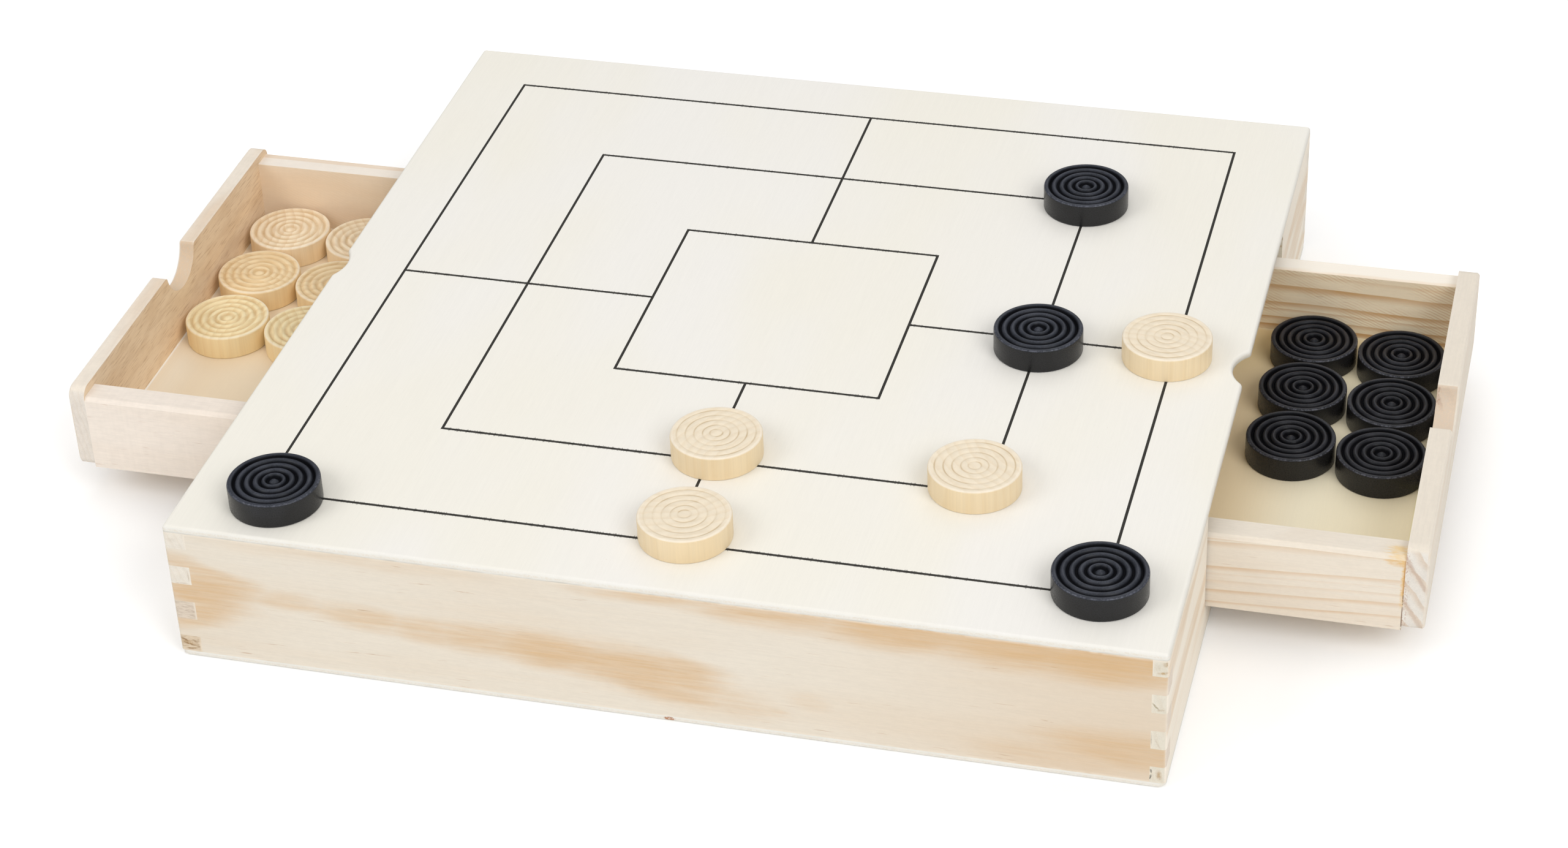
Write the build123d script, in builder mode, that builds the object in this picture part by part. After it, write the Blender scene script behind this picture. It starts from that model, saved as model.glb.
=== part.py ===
from build123d import *
import os

os.makedirs("parts", exist_ok=True)

# Nine mens morris box: a finger-jointed wooden case with the board printed on its lid panel, a drawer
# in each side and turned playing pieces. Millimetres, +Z up, +X to the right, +Y to the back.
# The origin is the centre of the underside.

# ---- Case ----
box_width = 300.0  # along X, over the side walls
box_depth = 300.0  # along Y, over the front and back walls
panel_thickness = 2.0  # plywood lid panel and floor panel
panel_edge_round = 1.2  # along the rim of the lid's top
panel_edge_chamfer = 0.6  # along the rim of the underside
corner_round = 1.2  # down the four upright corners of the walls and the lid
floor_corner_round = 2.5  # at the corners of the floor panel
wall_height = 44.0
long_wall_thickness = 7.0  # front and back walls
left_wall_thickness = 7.0
right_wall_thickness = 4.6
divider_thickness = 7.0  # board between the two drawer bays

# ---- Finger joints at the four corners ----
finger_height = 6.5
fingers_per_corner = 3  # fingers of the front or back wall, between one more pins of the side wall

# ---- Drawer bays ----
opening_width = 160.0  # along Y, open up to the lid panel
sill_height = 10.0  # solid part of the side wall below its opening
runner_width = 12.0  # ledge that carries a drawer side
fence_thickness = 4.0  # upright of a runner, which guides the drawer
fence_height = 11.0

# ---- Printed board ----
pattern_half = 127.0  # half the side of the outermost square
square_count = 3
line_width = 0.9
print_depth = 0.2

# ---- Drawers ----
slide_clearance = 1.0  # each side, between a drawer and its opening
base_clearance = 0.3  # between a drawer and its runners
back_clearance = 0.5  # between a closed drawer and the divider
front_top_gap = 4.4  # between a drawer front and the lid panel
side_drop = 2.9  # how far the drawer sides stay below the front
drawer_side_thickness = 8.5
drawer_back_thickness = 7.0
drawer_bottom_thickness = 3.0
right_front_thickness = 6.7
left_front_thickness = 5.4
front_top_round = 4.0
front_bottom_round = 3.0
front_edge_chamfer = 0.6
side_chamfer = 1.2
right_pull = 64.5  # how far each drawer stands open
left_pull = 63.0

# ---- Finger notches ----
right_lid_notch_radius = 12.0
right_lid_notch_depth = 4.2
left_lid_notch_radius = 14.0
left_lid_notch_depth = 2.3
lid_notch_flare = 2.0
front_notch_radius = 11.5
front_notch_depth = 10.0
front_notch_flare = 1.5
right_notch_shift = -3.0  # along Y, from the middle of the side
left_notch_shift = 0.8

# ---- Playing pieces ----
piece_diameter = 28.0
piece_thickness = 8.0
column_gap = 0.6  # between the two columns of pieces in a drawer
right_row_gap = 0.4  # between the pieces of a column
left_row_gap = 1.0
pieces_side_gap = 0.9  # to the drawer side at the back
right_pieces_front_gap = 0.6
left_pieces_front_gap = 1.7
right_outer_column_shift = -3.6  # along Y, where one column lies nearer the front than the other
left_inner_column_shift = -1.2
stored_rows = 3

# ---- Levels and planes that follow ----
wall_base = panel_thickness
wall_top = wall_base + wall_height
board_top = wall_top + panel_thickness
half_width = box_width / 2
half_depth = box_depth / 2
sill_top = wall_base + sill_height
drawer_base = sill_top + base_clearance
drawer_front_top = wall_top - front_top_gap
drawer_side_top = drawer_front_top - side_drop
drawer_floor = drawer_base + drawer_bottom_thickness
drawer_half_width = opening_width / 2 - slide_clearance
drawer_inner_half = drawer_half_width - drawer_side_thickness
drawer_length = half_width - divider_thickness / 2 - back_clearance
piece_radius = piece_diameter / 2

# What differs between the two sides of the box: which way out is, and the values above.
sides = {
    "right": (1, right_wall_thickness, right_front_thickness, right_pull, right_notch_shift),
    "left": (-1, left_wall_thickness, left_front_thickness, left_pull, left_notch_shift),
}
lid_notches = {
    "right": (right_lid_notch_radius, right_lid_notch_depth),
    "left": (left_lid_notch_radius, left_lid_notch_depth),
}
# How the stored pieces lie: the gap to the front, the gap in a column, each column's shift, outer first.
stored_layout = {
    "right": (right_pieces_front_gap, right_row_gap, (right_outer_column_shift, 0)),
    "left": (left_pieces_front_gap, left_row_gap, (0, left_inner_column_shift)),
}


def save(piece, name):
    """Labels a finished piece and writes its file."""
    piece.label = name
    export_step(piece, f"parts/{name}.step")


# ---- Lid panel and floor panel ----
with BuildSketch(Plane.XY.offset(board_top)) as mill_pattern:
    for step in range(square_count, 0, -1):
        side = 2 * pattern_half * step / square_count
        Rectangle(side + line_width, side + line_width)
        Rectangle(side - line_width, side - line_width, mode=Mode.SUBTRACT)
    connector_length = pattern_half - pattern_half / square_count
    with PolarLocations(pattern_half - connector_length / 2, 4):
        Rectangle(connector_length, line_width)

with BuildPart() as top_panel:
    with BuildSketch(Plane.XY.offset(wall_top)):
        Rectangle(box_width, box_depth)
        for name, (radius, depth) in lid_notches.items():
            out, _, _, _, shift = sides[name]
            with Locations((out * (half_width + radius - depth), shift)):
                Circle(radius, mode=Mode.SUBTRACT)
            mouth = vertices().sort_by_distance((out * half_width, shift, 0))[:2]
            fillet(mouth, lid_notch_flare)
        fillet(vertices().sort_by_distance((0, 0, 0))[-4:], corner_round)
    extrude(amount=panel_thickness)
    fillet(edges().group_by(Axis.Z)[-1], panel_edge_round)
    extrude(mill_pattern.sketch, amount=-print_depth, mode=Mode.SUBTRACT)
save(top_panel.part, "top_panel")

with BuildPart() as board_print:
    extrude(mill_pattern.sketch, amount=-print_depth)
save(board_print.part, "board_print")

with BuildPart() as bottom_panel:
    with BuildSketch(Plane.XY):
        RectangleRounded(box_width, box_depth, floor_corner_round)
    extrude(amount=panel_thickness)
    chamfer(edges().group_by(Axis.Z)[0], panel_edge_chamfer)
save(bottom_panel.part, "bottom_panel")

# ---- Walls ----
# Heights of the fingers' middles: the end pins take what the equal fingers and pins leave.
end_pin_height = (wall_height - (2 * fingers_per_corner - 1) * finger_height) / 2
lowest_finger = wall_base + end_pin_height + finger_height / 2
finger_levels = [lowest_finger + 2 * i * finger_height for i in range(fingers_per_corner)]
wall_middle = wall_base + wall_height / 2

for name, face in (("front_wall", -half_depth), ("back_wall", half_depth - long_wall_thickness)):
    with BuildPart() as long_wall:
        # The plane's normal points to the front, so the wall grows backwards from its front face.
        with BuildSketch(Plane.XZ.offset(-face)):
            with Locations(((left_wall_thickness - right_wall_thickness) / 2, wall_middle)):
                Rectangle(box_width - left_wall_thickness - right_wall_thickness, wall_height)
            with Locations([(0, level) for level in finger_levels]):
                Rectangle(box_width, finger_height)
        extrude(amount=-long_wall_thickness)
        upright = edges().filter_by(Axis.Z)
        finger_ends = upright.group_by(Axis.X)[0] + upright.group_by(Axis.X)[-1]
        fillet(finger_ends.group_by(Axis.Y)[0 if name == "front_wall" else -1], corner_round)
    save(long_wall.part, name)

for name, (out, thickness, _, _, _) in sides.items():
    with BuildPart() as side_wall:
        with BuildSketch(Plane.YZ.offset(out * half_width)):
            with Locations((0, wall_middle)):
                Rectangle(box_depth, wall_height)
            with Locations((0, (sill_top + wall_top) / 2)):
                Rectangle(opening_width, wall_top - sill_top, mode=Mode.SUBTRACT)
            for end_middle in (long_wall_thickness / 2 - half_depth, half_depth - long_wall_thickness / 2):
                with Locations([(end_middle, level) for level in finger_levels]):
                    Rectangle(long_wall_thickness, finger_height, mode=Mode.SUBTRACT)
        extrude(amount=-out * thickness)
        outer_uprights = edges().filter_by(Axis.Z).group_by(Axis.X)[-1 if out > 0 else 0]
        fillet(outer_uprights.group_by(Axis.Y)[0] + outer_uprights.group_by(Axis.Y)[-1], corner_round)
    save(side_wall.part, f"{name}_wall")

inner_depth = box_depth - 2 * long_wall_thickness
with BuildPart() as divider:
    with BuildSketch(Plane.XY.offset(wall_base)):
        Rectangle(divider_thickness, inner_depth)
    extrude(amount=wall_height)
save(divider.part, "divider")

# ---- Runners: an L section under each drawer side, from the side wall to the divider ----
for name, (out, thickness, _, _, _) in sides.items():
    for end, place in ((-1, "front"), (1, "back")):
        with BuildPart() as runner:
            with BuildSketch(Plane.YZ.offset(out * divider_thickness / 2)):
                with Locations((end * (opening_width / 2 - runner_width / 2), wall_base + sill_height / 2)):
                    Rectangle(runner_width, sill_height)
                fence_side = end * (opening_width / 2 + fence_thickness / 2)
                with Locations((fence_side, wall_base + (sill_height + fence_height) / 2)):
                    Rectangle(fence_thickness, sill_height + fence_height)
            extrude(amount=out * (half_width - thickness - divider_thickness / 2))
        save(runner.part, f"{name}_{place}_runner")

# ---- Drawers ----
for name, (out, _, front_thickness, pull, shift) in sides.items():
    front_face = half_width + pull  # distance of the drawer's outer face from the middle of the box
    front_inside = front_face - front_thickness
    back_inside = front_face - drawer_length + drawer_back_thickness
    board_middle = (drawer_base + drawer_side_top) / 2  # height of the sides' and the back's middle
    side_middle = (drawer_half_width + drawer_inner_half) / 2

    with BuildPart() as drawer_front:
        with BuildSketch(Plane.YZ.offset(out * front_face)):
            with Locations((0, (drawer_base + drawer_front_top) / 2)):
                Rectangle(2 * drawer_half_width, drawer_front_top - drawer_base)
            fillet(vertices().group_by(Axis.Y)[-1], front_top_round)
            fillet(vertices().group_by(Axis.Y)[0], front_bottom_round)
            with Locations((shift, drawer_front_top + front_notch_radius - front_notch_depth)):
                Circle(front_notch_radius, mode=Mode.SUBTRACT)
            mouth = (
                vertices()
                .group_by(Axis.Y)[-1]
                .filter_by_position(Axis.X, shift - 2 * front_notch_radius, shift + 2 * front_notch_radius)
            )
            fillet(mouth, front_notch_flare)
        extrude(amount=-out * front_thickness)
        outer_outline = edges().group_by(Axis.X)[-1 if out > 0 else 0]
        chamfer(outer_outline, front_edge_chamfer)
    save(drawer_front.part, f"{name}_drawer_front")

    for end, place in ((-1, "front"), (1, "back")):
        with BuildPart() as drawer_side:
            with BuildSketch(Plane.YZ.offset(out * back_inside)):
                with Locations((end * side_middle, board_middle)):
                    Rectangle(drawer_side_thickness, drawer_side_top - drawer_base)
            extrude(amount=out * (front_inside - back_inside))
            top_edges = edges().filter_by(Axis.X).group_by(Axis.Z)[-1]
            chamfer(top_edges.sort_by(Axis.Y)[-1 if end > 0 else 0], side_chamfer)
        save(drawer_side.part, f"{name}_drawer_{place}_side")

    with BuildPart() as drawer_back:
        with BuildSketch(Plane.YZ.offset(out * back_inside)):
            with Locations((0, board_middle)):
                Rectangle(2 * drawer_half_width, drawer_side_top - drawer_base)
        extrude(amount=-out * drawer_back_thickness)
    save(drawer_back.part, f"{name}_drawer_back")

    with BuildPart() as drawer_bottom:
        with BuildSketch(Plane.XY.offset(drawer_base)):
            with Locations((out * (front_inside + back_inside) / 2, 0)):
                Rectangle(front_inside - back_inside, 2 * drawer_inner_half)
        extrude(amount=drawer_bottom_thickness)
    save(drawer_bottom.part, f"{name}_drawer_bottom")

# ---- Playing pieces ----
# Where the pieces on the board stand, a little off its points: in steps of the mill from the middle.
board_step = pattern_half / square_count
dark_on_board = [(1.981, 1.962), (2.007, -0.123), (-2.854, -3.092), (2.979, -2.960)]
light_on_board = [(2.953, -0.059), (0.040, -1.920), (1.913, -1.946), (0.085, -2.908)]


def on_board(places):
    """Spots of the pieces that stand on the board."""
    return [(x * board_step, y * board_step, board_top) for x, y in places]


def in_drawer(name):
    """Spots of the pieces that lie in columns in a drawer, from its front's inside and its back side."""
    out, _, front_thickness, pull, _ = sides[name]
    front_gap, row_gap, shifts = stored_layout[name]
    first_x = half_width + pull - front_thickness - front_gap - piece_radius
    first_y = drawer_inner_half - pieces_side_gap - piece_radius
    return [
        (
            out * (first_x - column * (piece_diameter + column_gap)),
            first_y + shift - row * (piece_diameter + row_gap),
            drawer_floor,
        )
        for column, shift in enumerate(shifts)
        for row in range(stored_rows)
    ]


spots = {
    "dark": on_board(dark_on_board) + in_drawer("right"),
    "light": on_board(light_on_board) + in_drawer("left"),
}
for colour, places in spots.items():
    for number, (x, y, z) in enumerate(places, start=1):
        with BuildPart() as piece:
            with BuildSketch(Plane(origin=(x, y, z), x_dir=(1, 0, 0), z_dir=(0, -1, 0))):
                Rectangle(piece_radius, piece_thickness, align=(Align.MIN, Align.MIN))
            revolve(axis=Axis((x, y, z), (0, 0, 1)))
        save(piece.part, f"{colour}_piece_{number}")
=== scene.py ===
import math

import bmesh
import bpy
from mathutils import Euler, Matrix, Vector


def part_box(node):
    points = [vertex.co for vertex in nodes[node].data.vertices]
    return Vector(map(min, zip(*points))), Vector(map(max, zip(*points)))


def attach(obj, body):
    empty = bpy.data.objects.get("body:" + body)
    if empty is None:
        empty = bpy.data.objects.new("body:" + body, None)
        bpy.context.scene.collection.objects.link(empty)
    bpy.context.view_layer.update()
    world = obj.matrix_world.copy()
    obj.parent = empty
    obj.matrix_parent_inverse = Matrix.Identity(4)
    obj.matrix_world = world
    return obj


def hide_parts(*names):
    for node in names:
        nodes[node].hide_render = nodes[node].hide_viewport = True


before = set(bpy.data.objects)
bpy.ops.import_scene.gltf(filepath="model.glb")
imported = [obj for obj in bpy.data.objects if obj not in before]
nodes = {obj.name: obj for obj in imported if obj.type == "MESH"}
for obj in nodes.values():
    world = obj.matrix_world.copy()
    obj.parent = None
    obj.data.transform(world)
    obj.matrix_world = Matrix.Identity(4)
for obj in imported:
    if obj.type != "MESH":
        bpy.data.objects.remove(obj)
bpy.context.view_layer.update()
scene = bpy.context.scene
scene.view_settings.view_transform = "Standard"

MM = 1000  # millimetres in a metre

# ---------------------------------------------------------------- camera
CAMERA_PLACE = (0.25651, -0.90275, 0.64667)  # metres
CAMERA_TILT, CAMERA_ROLL, CAMERA_HEADING = 55.579, 2.042, 14.476  # degrees up from looking straight down
FOCAL_LENGTH, SENSOR_WIDTH = 79.94, 36.0  # millimetres

cam_data = bpy.data.cameras.new("camera")
cam_data.sensor_width = SENSOR_WIDTH
cam_data.lens = FOCAL_LENGTH
cam_data.clip_start = 0.05
cam = bpy.data.objects.new("camera", cam_data)
turn = Euler([math.radians(angle) for angle in (CAMERA_TILT, CAMERA_ROLL, CAMERA_HEADING)])
cam.matrix_world = Matrix.Translation(CAMERA_PLACE) @ turn.to_matrix().to_4x4()
scene.collection.objects.link(cam)
scene.camera = cam


def srgb(red, green, blue):
    """A colour written in 0 to 255, as the linear values that shaders take."""
    def one(value):
        value /= 255
        return value / 12.92 if value <= 0.04045 else ((value + 0.055) / 1.055) ** 2.4
    return (one(red), one(green), one(blue), 1.0)


# ---------------------------------------------------------------- material tools
class Shader:
    """A node material that is put together step by step. Positions are in millimetres of the CAD frame."""

    def __init__(self, name):
        self.mat = bpy.data.materials.new(name)
        self.mat.use_nodes = True
        self.tree = self.mat.node_tree
        self.bsdf = self.tree.nodes["Principled BSDF"]
        coord = self.add("ShaderNodeTexCoord")
        self.at = self.vector("MULTIPLY", coord.outputs["Object"], (MM, MM, MM))
        self.x, self.y, self.z = self.split(self.at)
        normal = self.split(coord.outputs["Normal"])
        self.nx, self.ny, self.nz = (self.absolute(part) for part in normal)
        self.up = normal[2]

    def add(self, kind, **props):
        node = self.tree.nodes.new(kind)
        for key, value in props.items():
            setattr(node, key, value)
        return node

    def put(self, socket, value):
        if isinstance(value, bpy.types.NodeSocket):
            self.tree.links.new(value, socket)
        else:
            socket.default_value = value[:3] if socket.type == "VECTOR" else value

    def math(self, operation, a, b=None, clamp=False):
        node = self.add("ShaderNodeMath", operation=operation, use_clamp=clamp)
        for socket, value in zip(node.inputs, (a, b)):
            if value is not None:
                self.put(socket, value)
        return node.outputs[0]

    def chain(self, operation, values):
        total = values[0]
        for value in values[1:]:
            total = self.math(operation, total, value)
        return total

    def times(self, *values):
        return self.chain("MULTIPLY", values)

    def plus(self, *values):
        return self.chain("ADD", values)

    def most(self, *values):
        return self.chain("MAXIMUM", values)

    def least(self, *values):
        return self.chain("MINIMUM", values)

    def minus(self, a, b):
        return self.math("SUBTRACT", a, b)

    def absolute(self, value):
        return self.math("ABSOLUTE", value)

    def off(self, value, place):
        """How far the value is from the place, either way."""
        return self.absolute(self.minus(value, place))

    def length(self, a, b):
        return self.math("SQRT", self.plus(self.times(a, a), self.times(b, b)))

    def vector(self, operation, a, b):
        node = self.add("ShaderNodeVectorMath", operation=operation)
        self.put(node.inputs[0], a)
        self.put(node.inputs[1], b)
        return node.outputs["Vector"]

    def split(self, vector):
        node = self.add("ShaderNodeSeparateXYZ")
        self.put(node.inputs[0], vector)
        return node.outputs

    def noise(self, size, detail=3.0, rough=0.5, shift=0.0):
        """Noise whose grains measure size, (x, y, z) in millimetres."""
        scaled = self.vector("MULTIPLY", self.at, tuple(1 / grain for grain in size))
        if shift:
            scaled = self.vector("ADD", scaled, (shift, shift * 1.7, shift * 0.6))
        node = self.add("ShaderNodeTexNoise")
        self.put(node.inputs["Vector"], scaled)
        self.put(node.inputs["Scale"], 1.0)
        self.put(node.inputs["Detail"], detail)
        self.put(node.inputs["Roughness"], rough)
        return node.outputs[0]

    def step(self, value, low, high, to_low=0.0, to_high=1.0):
        """Goes smoothly from to_low to to_high as value goes from low to high."""
        node = self.add("ShaderNodeMapRange", interpolation_type="SMOOTHSTEP")
        flip = low > high
        self.put(node.inputs["Value"], value)
        node.inputs["From Min"].default_value = high if flip else low
        node.inputs["From Max"].default_value = low if flip else high
        node.inputs["To Min"].default_value = to_high if flip else to_low
        node.inputs["To Max"].default_value = to_low if flip else to_high
        return node.outputs[0]

    def vary(self, noise, low, high):
        """Goes from low to high over the middle of what a noise gives."""
        return self.step(noise, 0.3, 0.7, low, high)

    def on_top(self):
        """1 on faces that look up, 0 on upright ones."""
        return self.step(self.up, 0.4, 0.8)

    def mix(self, amount, a, b):
        node = self.add("ShaderNodeMix", data_type="RGBA")
        self.put(node.inputs[0], amount)
        self.put(node.inputs[6], a)
        self.put(node.inputs[7], b)
        return node.outputs[2]

    def shade(self, colour, factor):
        """The colour times a factor that varies around 1."""
        node = self.add("ShaderNodeVectorMath", operation="SCALE")
        self.put(node.inputs[0], colour)
        self.put(node.inputs["Scale"], factor)
        return node.outputs["Vector"]

    def spot(self, u, v, centre, radii, degrees=0.0, soft=0.6):
        """A soft oval on a face: 1 in its middle, 0 outside."""
        c, s = math.cos(math.radians(degrees)), math.sin(math.radians(degrees))
        du = self.minus(u, centre[0])
        dv = self.minus(v, centre[1])
        a = self.plus(self.times(du, c / radii[0]), self.times(dv, s / radii[0]))
        b = self.plus(self.times(du, -s / radii[1]), self.times(dv, c / radii[1]))
        return self.step(self.length(a, b), 1.0, 1.0 - soft)

    def edge(self, low, high):
        """Distance in millimetres from a point on a box-shaped piece to its nearest edge."""
        gaps = []
        for value, lo, hi in zip((self.x, self.y, self.z), low, high):
            middle, half = (lo + hi) / 2, (hi - lo) / 2
            gaps.append(self.minus(half, self.off(value, middle)))
        # The middle one of the three distances to the faces.
        return self.minus(self.minus(self.plus(*gaps), self.most(*gaps)), self.least(*gaps))

    def wander(self, amount, size, shift, detail=2, rough=0.5):
        """A slow sideways shift, by up to half the amount either way."""
        return self.times(self.minus(self.noise(size, detail, rough, shift), 0.5), amount)

    def bump(self, height, distance, strength):
        """Height from 0 to 1 stands for distance in millimetres."""
        node = self.add("ShaderNodeBump")
        node.inputs["Strength"].default_value = strength
        node.inputs["Distance"].default_value = distance / MM
        self.put(node.inputs["Height"], height)
        return node.outputs[0]

    def finish(self, colour, roughness, normal, specular):
        self.put(self.bsdf.inputs["Base Color"], colour)
        self.put(self.bsdf.inputs["Roughness"], roughness)
        self.put(self.bsdf.inputs["Normal"], normal)
        self.put(self.bsdf.inputs["Specular IOR Level"], specular)
        return self.mat


def mm_box(node):
    """The lower and the upper corner of a CAD piece's box, in millimetres."""
    low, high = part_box(node)
    return [value * MM for value in low], [value * MM for value in high]


def dress(node, material):
    """Gives a CAD piece its material."""
    mesh = nodes[node].data
    mesh.materials.clear()
    mesh.materials.append(material)


# ---------------------------------------------------------------- plywood panels
CREAM = srgb(242, 239, 233)
CREAM_WARM = srgb(242, 238, 227)
PLY_EDGE = srgb(236, 233, 225)
INK = srgb(52, 50, 46)
PATTERN_HALF = 127.0  # from the middle to the outermost lines of the print
LINE_HALF = 0.45


def level_in(s, node):
    """How far up in the piece, from 0 to 1."""
    low, high = mm_box(node)
    return s.math("DIVIDE", s.minus(s.z, low[2]), high[2] - low[2])


def lid_marks(s, side, colour):
    """Ink that crept into the grain beside the lines, and a ragged shadow line where the lid is glued on."""
    across, deep = s.absolute(s.x), s.absolute(s.y)
    creep = s.plus(s.step(s.noise((0.24, 6, 3), 1.5, 0.5, shift=21), 0.45, 0.8, 0.0, 0.5), 0.5)
    third = PATTERN_HALF / 3
    # Only the lines that cross the grain: two of the four connecting ones, and two sides of each square.
    middle = s.step(s.minus(deep, creep), 0.1, -0.1)
    lines = [s.times(middle, s.math("LESS_THAN", s.off(across, third * 2), third))]
    for square in (1, 2, 3):
        off = s.minus(s.off(deep, third * square), creep)
        within = s.math("LESS_THAN", across, third * square + LINE_HALF)
        lines.append(s.times(s.step(off, 0.1, -0.1), within))
    ink = s.times(s.most(*lines), s.step(s.up, 0.5, 0.8))
    ragged = s.noise((5, 5, 0.8), 3, 0.6, shift=14)
    line = s.times(s.step(level_in(s, "top_panel"), 0.34, 0.1), s.step(ragged, 0.3, 0.6, 0.3, 0.9))
    return s.mix(line, side, srgb(206, 199, 186)), s.mix(s.times(ink, 0.72), colour, INK)


def floor_marks(s, side, colour):
    """A chip in the front edge, where the core shows."""
    front = s.math("LESS_THAN", s.y, mm_box("bottom_panel")[0][1] + 1)
    chip = s.times(s.spot(s.x, s.z, (3.7, 1.1), (2.1, 0.75), soft=0.35), front)
    torn = s.step(s.noise((0.8, 1, 0.5), 1, 0.5), 0.35, 0.5)
    return s.mix(s.times(chip, torn), side, srgb(176, 116, 70)), colour


def plywood(name, node, tint=CREAM, tint_warm=CREAM_WARM, extra=None):
    """Pale plywood in two tints. The extra function paints on its edge and its faces."""
    s = Shader(name)
    low, high = mm_box(node)
    broad = s.noise((60, 140, 60), 2, 0.5, shift=3)
    colour = s.mix(s.step(broad, 0.35, 0.65), tint, tint_warm)
    # The face veneer's grain runs from front to back.
    grain = s.noise((0.55, 26, 3), 3, 0.6)
    fibre = s.noise((0.22, 5, 2), 2, 0.6, shift=7)
    colour = s.shade(colour, s.plus(s.vary(grain, 0.990, 1.006), s.vary(fibre, -0.007, 0.007)))
    speck = s.times(s.step(s.noise((0.35, 1.1, 1), 1, 0.5, shift=11), 0.80, 0.86),
                    s.step(s.noise((40, 60, 40), 1, 0.5, shift=5), 0.45, 0.6))
    colour = s.mix(s.times(speck, 0.45), colour, srgb(186, 170, 140))
    # The edge shows three plies: the middle one is a little darker and has end grain.
    core = s.step(s.off(level_in(s, node), 0.5), 0.22, 0.15)
    pores = s.step(s.noise((0.5, 0.5, 0.3), 2, 0.6, shift=2), 0.35, 0.7)
    side = s.mix(s.times(core, s.step(pores, 0, 1, 0.05, 0.4)), PLY_EDGE, srgb(222, 206, 180))
    fuzz = s.noise((1.2, 1.2, 0.25), 2, 0.6, shift=9)
    side = s.shade(side, s.vary(fuzz, 0.975, 1.01))
    if extra:
        side, colour = extra(s, side, colour)
    flat = s.step(s.nz, 0.55, 0.9)
    # Faces that don't look straight up or down, the edge and its rounding, are painted 5% darker as painted
    # shade.
    colour = s.shade(s.mix(flat, side, colour), s.step(s.nz, 0.85, 0.99, 0.95, 1.0))
    # Pale edges: partly rubbed wood, partly a painted highlight on the rounded edges.
    rim = s.edge(low, high)
    edge_highlight = s.times(s.step(rim, 1.6, 0.2), s.step(s.noise((9, 9, 9), 3, 0.6, shift=4), 0.3, 0.6))
    colour = s.mix(s.times(edge_highlight, 0.25), colour, srgb(243, 241, 235))
    rough = s.vary(grain, 0.62, 0.74)
    normal = s.bump(s.plus(grain, s.times(fibre, 0.5)), 0.03, 0.5)
    return s.finish(colour, rough, normal, 0.3)


# ---------------------------------------------------------------- solid wood
# A board's grain runs along its axis, "X" or "Y".
# Pale edge tones: rubbed wood and a painted highlight.
WEAR_AND_HIGHLIGHT = srgb(240, 230, 214)
WEAR_AND_HIGHLIGHT_PALE = srgb(243, 236, 226)


def along(s, axis):
    """The coordinate along the grain, the one across it on the broad face, and the third."""
    return {"X": (s.x, s.z, s.y), "Y": (s.y, s.z, s.x)}[axis]


def sizes(axis, length, across, deep):
    """Grain size as (x, y, z), from its size along the grain, up the face and into the board."""
    return {"X": (length, deep, across), "Y": (deep, length, across)}[axis]


def end_grain(s, base, rings, at, pitch, seed, weight):
    """Sawn end grain: arcs of the growth rings, each sharp on one side, and small pores."""
    wander = s.wander(3, (6, 6, 6), seed + 8)
    ring = s.math("FRACT", s.math("DIVIDE", s.plus(at, wander), pitch))
    arcs = s.times(s.step(ring, 0.35, 0.9), s.step(ring, 1.0, 0.93))
    pores = s.noise((0.35, 0.35, 0.35), 3, 0.65, shift=seed + 9)
    blotch = s.noise((2.2, 2.2, 2.2), 2, 0.6, shift=seed + 11)
    grey = s.mix(s.times(arcs, weight), base, rings)
    grey = s.shade(grey, s.plus(s.vary(pores, 0.95, 1.03), s.vary(blotch, -0.03, 0.02)))
    return grey, pores


def hairs(s, axis, size, start, patch, patch_edge, seed):
    """Hair-thin threads along the grain, in patches."""
    thin = s.step(s.noise(sizes(axis, *size), 0.5, 0.4, shift=seed), start, 0.79)
    return s.times(thin, s.step(s.noise(sizes(axis, *patch), 1, 0.5, shift=seed + 1), *patch_edge))


def board_finish(s, node, axis, colour, grey, fine, pores, seed, wear_and_highlight_colour, rough=(0.55, 0.72), above=None,
                 wear_and_highlight_amount=0.45):
    """Joins long grain and end grain, pales the edges, as rubbed wood and as a painted highlight, and gives
    both their roughness and bump.
    """
    low, high = mm_box(node)
    ends = s.step({"X": s.nx, "Y": s.ny}[axis], 0.6, 0.85)
    colour = s.mix(ends, colour, grey)
    # Pale edges: partly rubbed wood, partly a painted highlight along them.
    rim = s.edge(low, high)
    edge_highlight = s.times(s.step(rim, 0.9, 0.1), s.step(s.noise((6, 6, 6), 3, 0.6, shift=seed + 10), 0.3, 0.6))
    if above is not None:
        edge_highlight = s.times(edge_highlight, s.step(s.z, above, above + 3))
    colour = s.mix(s.times(edge_highlight, wear_and_highlight_amount), colour, wear_and_highlight_colour)
    height = s.plus(s.times(fine, 0.7), s.times(pores, 0.3))
    return s.finish(colour, s.step(fine, 0.3, 0.7, *rough), s.bump(height, 0.035, 0.55), 0.3)


PINE = srgb(228, 219, 204)
PINE_TAN = srgb(213, 179, 136)
RESIN = srgb(178, 134, 90)


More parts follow.
